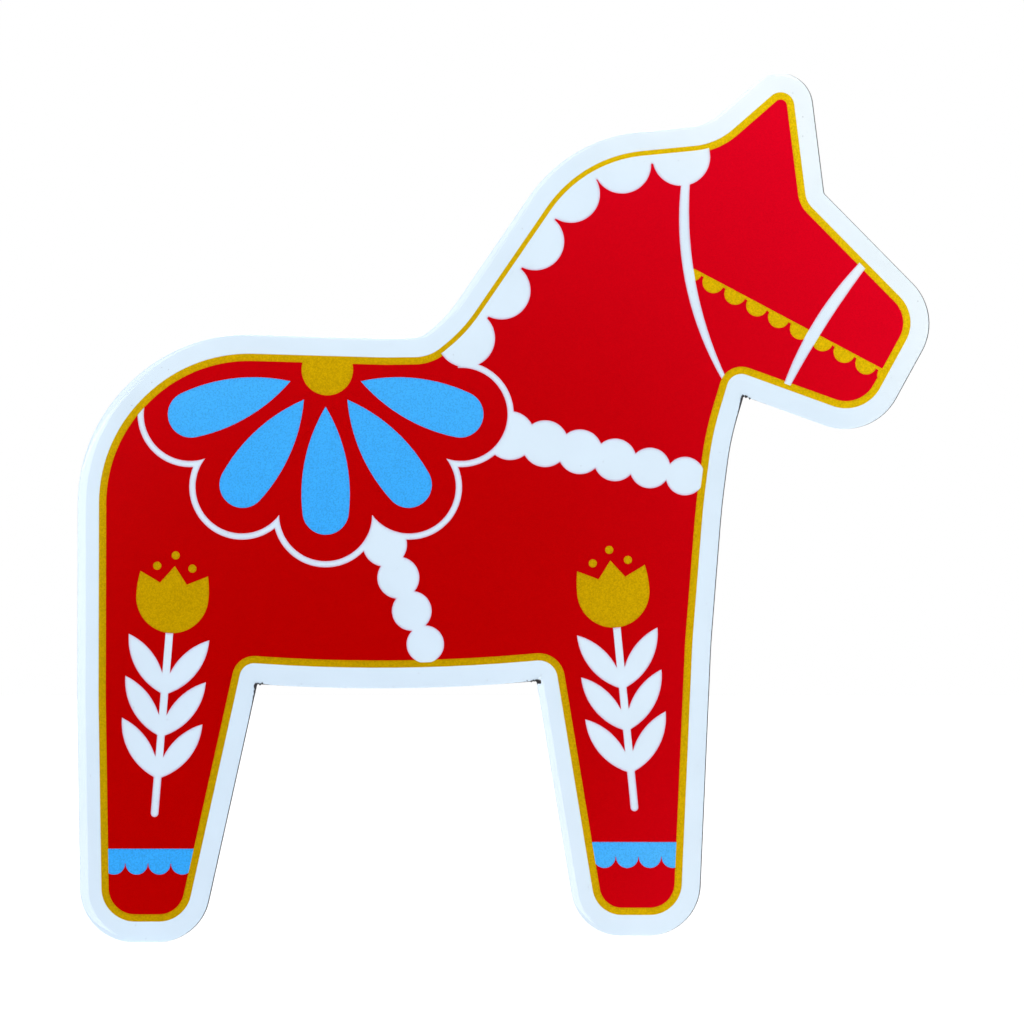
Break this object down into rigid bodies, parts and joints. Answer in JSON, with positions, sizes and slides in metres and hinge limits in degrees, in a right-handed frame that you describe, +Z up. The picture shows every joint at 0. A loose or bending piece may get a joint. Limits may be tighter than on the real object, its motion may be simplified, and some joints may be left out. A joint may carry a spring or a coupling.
{
  "type": "die-cut fridge magnet",
  "caption": "Flat horse-shaped magnet with a printed folk-art front, bonded in layers on a flexible magnetic back.",
  "frame": {"origin": "on the magnet's back face, within 0.1 mm of the middle of the cut outline's box", "axes": "+Z up the standing horse, +X towards the muzzle, +Y out of the back; the printed front faces -Y"},
  "size_m": [0.0747, 0.001, 0.0763],
  "materials": {
    "back_varnish": "thin clear varnish",
    "magnet_rubber": "smooth calendered ferrite rubber",
    "adhesive": "clear pressure-sensitive adhesive",
    "white_vinyl": "white calendered film",
    "red_ink": "printed ink under gloss laminate",
    "gold_ink": "printed ink under gloss laminate",
    "blue_ink": "printed ink under gloss laminate",
    "overlaminate": "clear gloss film"
  },
  "bodies": {
    "root": {"back_varnish": "back_varnish", "magnet_sheet": "magnet_rubber", "film_adhesive": "adhesive", "white_film": "white_vinyl", "gold_outline": "gold_ink", "blossom": "gold_ink", "petal_rear_outer": "blue_ink", "petal_rear_inner": "blue_ink", "petal_middle": "blue_ink", "petal_fore_inner": "blue_ink", "petal_fore_outer": "blue_ink", "saddle_red": "red_ink", "haunch_red": "red_ink", "hind_hoof_red": "red_ink", "shoulder_red": "red_ink", "fore_hoof_red": "red_ink", "neck_red": "red_ink", "cheek_red": "red_ink", "jaw_red": "red_ink", "nose_red": "red_ink", "chin_red": "red_ink", "hind_tulip": "gold_ink", "hind_tulip_dots": "gold_ink", "fore_tulip": "gold_ink", "fore_tulip_dots": "gold_ink", "cheek_strap": "gold_ink", "nose_strap": "gold_ink", "hind_hoof_band": "blue_ink", "fore_hoof_band": "blue_ink", "laminate_adhesive": "adhesive", "overlaminate": "overlaminate"}
  },
  "joints": []
}
